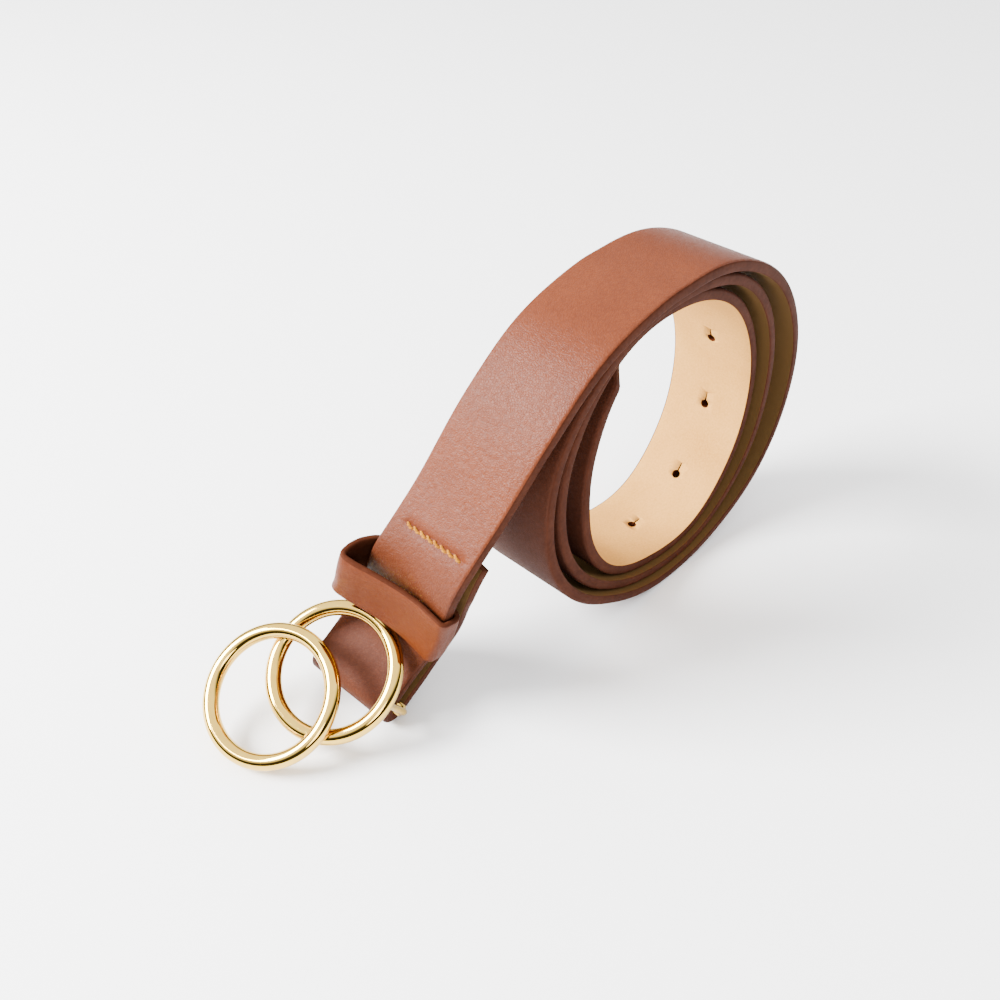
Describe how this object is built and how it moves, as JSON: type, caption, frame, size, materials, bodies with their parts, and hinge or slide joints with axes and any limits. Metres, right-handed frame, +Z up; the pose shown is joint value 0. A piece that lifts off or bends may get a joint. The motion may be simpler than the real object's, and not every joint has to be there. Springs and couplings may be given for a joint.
{
  "type": "double ring belt",
  "caption": "Coiled leather waist belt standing on its edge, with a folded buckle end, a leather keeper loop and two overlapping polished metal rings.",
  "frame": {"origin": "middle of the ground rectangle under the whole belt", "axes": "+X from the buckle towards the coil, +Y along the coil's axis towards its back, +Z up"},
  "size_m": [0.2064, 0.0682, 0.1159],
  "materials": {
    "strap_leather": "smooth cognac grain with painted brown edges",
    "lining_leather": "natural tan, matt",
    "keeper_leather": "smooth cognac grain",
    "ring_metal": "polished pale gold"
  },
  "bodies": {
    "strap_body": {"strap": "strap_leather", "strap_lining": "lining_leather", "keeper_loop": "keeper_leather"},
    "buckle_body": {"double_ring_buckle": "ring_metal"}
  },
  "joints": [
    {"name": "buckle_hinge", "type": "hinge", "parent": "strap_body", "child": "buckle_body", "pos_m": [-0.06114, 0.00377, 0.0077], "axis": [0.0707, -0.9857, -0.1532], "range_deg": [0, 150]}
  ]
}
